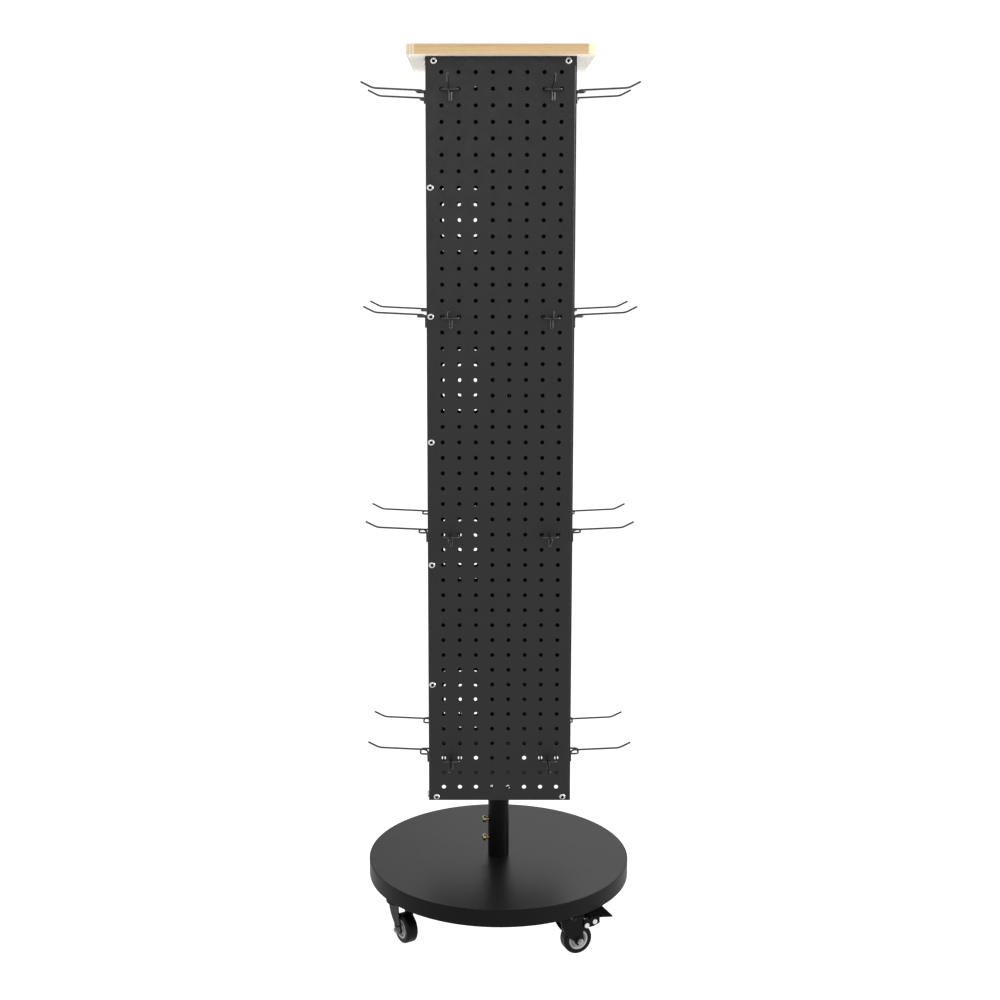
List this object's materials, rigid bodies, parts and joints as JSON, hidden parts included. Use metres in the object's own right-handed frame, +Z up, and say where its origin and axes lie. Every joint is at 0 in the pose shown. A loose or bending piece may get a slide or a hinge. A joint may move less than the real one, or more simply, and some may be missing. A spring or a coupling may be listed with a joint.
{
  "type": "rotating display rack",
  "caption": "Square four-sided pegboard column with wire hooks and a wooden top board, turning on a spindle above a round base with swivel casters.",
  "frame": {"origin": "on the floor, on the spindle axis under the centre of the round base", "axes": "+Z up along the spindle, -Y towards the front panel, +X to the right seen from the front"},
  "size_m": [0.4299, 0.43, 1.399],
  "materials": {
    "panel_coating": "fine-textured matte powder coat",
    "hook_coating": "satin powder coat",
    "base_laminate": "matte black laminate on fibreboard",
    "base_edge": "matte edge band",
    "socket_coating": "satin powder coat",
    "bright_steel": "zinc plated",
    "yellow_zinc": "yellow passivated zinc",
    "oak_laminate": "satin oak-look laminate",
    "oak_edge": "satin oak-look edge band",
    "nylon": "natural",
    "caster_black": "gloss black",
    "tyre": "smooth black polyurethane tread",
    "rim_grey": "moulded grey"
  },
  "bodies": {
    "base": {"base_disc": "base_laminate", "base_edge_band": "base_edge", "base_socket": "socket_coating", "base_plate_screws": "bright_steel", "clamp_screws": "yellow_zinc", "spindle": "bright_steel", "spindle_washer": "bright_steel", "spindle_top_screw": "bright_steel", "upper_bearing_inner_race": "bright_steel", "thrust_washer_lower": "bright_steel", "thrust_balls": "bright_steel", "caster_stems": "bright_steel", "caster_inserts": "bright_steel"},
    "column": {"panel_front": "panel_coating", "panel_right": "panel_coating", "panel_back": "panel_coating", "panel_left": "panel_coating", "top_frame": "panel_coating", "bottom_frame": "panel_coating", "top_board": "oak_laminate", "top_board_edge_band": "oak_edge", "board_screws": "bright_steel", "edge_screws": "bright_steel", "edge_nuts": "bright_steel", "top_corner_screws": "bright_steel", "bottom_corner_screws": "bright_steel", "upper_bearing_outer_race": "bright_steel", "upper_bearing_balls": "bright_steel", "thrust_washer_upper": "bright_steel", "lower_bushing": "nylon", "hooks_front_left_column": "hook_coating", "hooks_front_right_column": "hook_coating", "hooks_right_left_column": "hook_coating", "hooks_right_right_column": "hook_coating", "hooks_back_left_column": "hook_coating", "hooks_back_right_column": "hook_coating", "hooks_left_left_column": "hook_coating", "hooks_left_right_column": "hook_coating"},
    "front_left_swivel": {"front_left_fork": "caster_black", "front_left_axle": "bright_steel"},
    "front_left_wheel": {"front_left_rim": "rim_grey", "front_left_tyre": "tyre"},
    "front_right_swivel": {"front_right_fork": "caster_black", "front_right_axle": "bright_steel", "front_right_brake_pivot_pin": "bright_steel"},
    "front_right_wheel": {"front_right_rim": "rim_grey", "front_right_tyre": "tyre"},
    "front_right_brake": {"front_right_brake_pedal": "caster_black", "front_right_brake_cross_pin": "bright_steel"},
    "back_right_swivel": {"back_right_fork": "caster_black", "back_right_axle": "bright_steel"},
    "back_right_wheel": {"back_right_rim": "rim_grey", "back_right_tyre": "tyre"},
    "back_left_swivel": {"back_left_fork": "caster_black", "back_left_axle": "bright_steel", "back_left_brake_pivot_pin": "bright_steel"},
    "back_left_wheel": {"back_left_rim": "rim_grey", "back_left_tyre": "tyre"},
    "back_left_brake": {"back_left_brake_pedal": "caster_black", "back_left_brake_cross_pin": "bright_steel"}
  },
  "joints": [
    {"name": "column_spin", "type": "hinge", "parent": "base", "child": "column", "pos_m": [0, 0, 0.235], "axis": [0, 0, 1], "continuous": true},
    {"name": "front_left_caster_swivel", "type": "hinge", "parent": "base", "child": "front_left_swivel", "pos_m": [-0.16024, -0.10209, 0.066], "axis": [0, 0, 1], "continuous": true},
    {"name": "front_left_wheel_roll", "type": "hinge", "parent": "front_left_swivel", "child": "front_left_wheel", "pos_m": [-0.14965, -0.11905, 0.024], "axis": [0.848, 0.5299, 0], "continuous": true},
    {"name": "front_right_caster_swivel", "type": "hinge", "parent": "base", "child": "front_right_swivel", "pos_m": [0.10209, -0.16024, 0.066], "axis": [0, 0, 1], "continuous": true},
    {"name": "front_right_wheel_roll", "type": "hinge", "parent": "front_right_swivel", "child": "front_right_wheel", "pos_m": [0.12063, -0.15275, 0.024], "axis": [-0.3746, 0.9272, 0], "continuous": true},
    {"name": "front_right_brake_press", "type": "hinge", "parent": "front_right_swivel", "child": "front_right_brake", "pos_m": [0.13083, -0.14863, 0.049], "axis": [-0.3746, 0.9272, 0], "range_deg": [0, 12]},
    {"name": "back_right_caster_swivel", "type": "hinge", "parent": "base", "child": "back_right_swivel", "pos_m": [0.16024, 0.10209, 0.066], "axis": [0, 0, 1], "continuous": true},
    {"name": "back_right_wheel_roll", "type": "hinge", "parent": "back_right_swivel", "child": "back_right_wheel", "pos_m": [0.1534, 0.12088, 0.024], "axis": [-0.9397, -0.342, 0], "continuous": true},
    {"name": "back_left_caster_swivel", "type": "hinge", "parent": "base", "child": "back_left_swivel", "pos_m": [-0.10209, 0.16024, 0.066], "axis": [0, 0, 1], "continuous": true},
    {"name": "back_left_wheel_roll", "type": "hinge", "parent": "back_left_swivel", "child": "back_left_wheel", "pos_m": [-0.11847, 0.14877, 0.024], "axis": [0.5736, -0.8192, 0], "continuous": true},
    {"name": "back_left_brake_press", "type": "hinge", "parent": "back_left_swivel", "child": "back_left_brake", "pos_m": [-0.12748, 0.14246, 0.049], "axis": [0.5736, -0.8192, 0], "range_deg": [0, 12]}
  ]
}
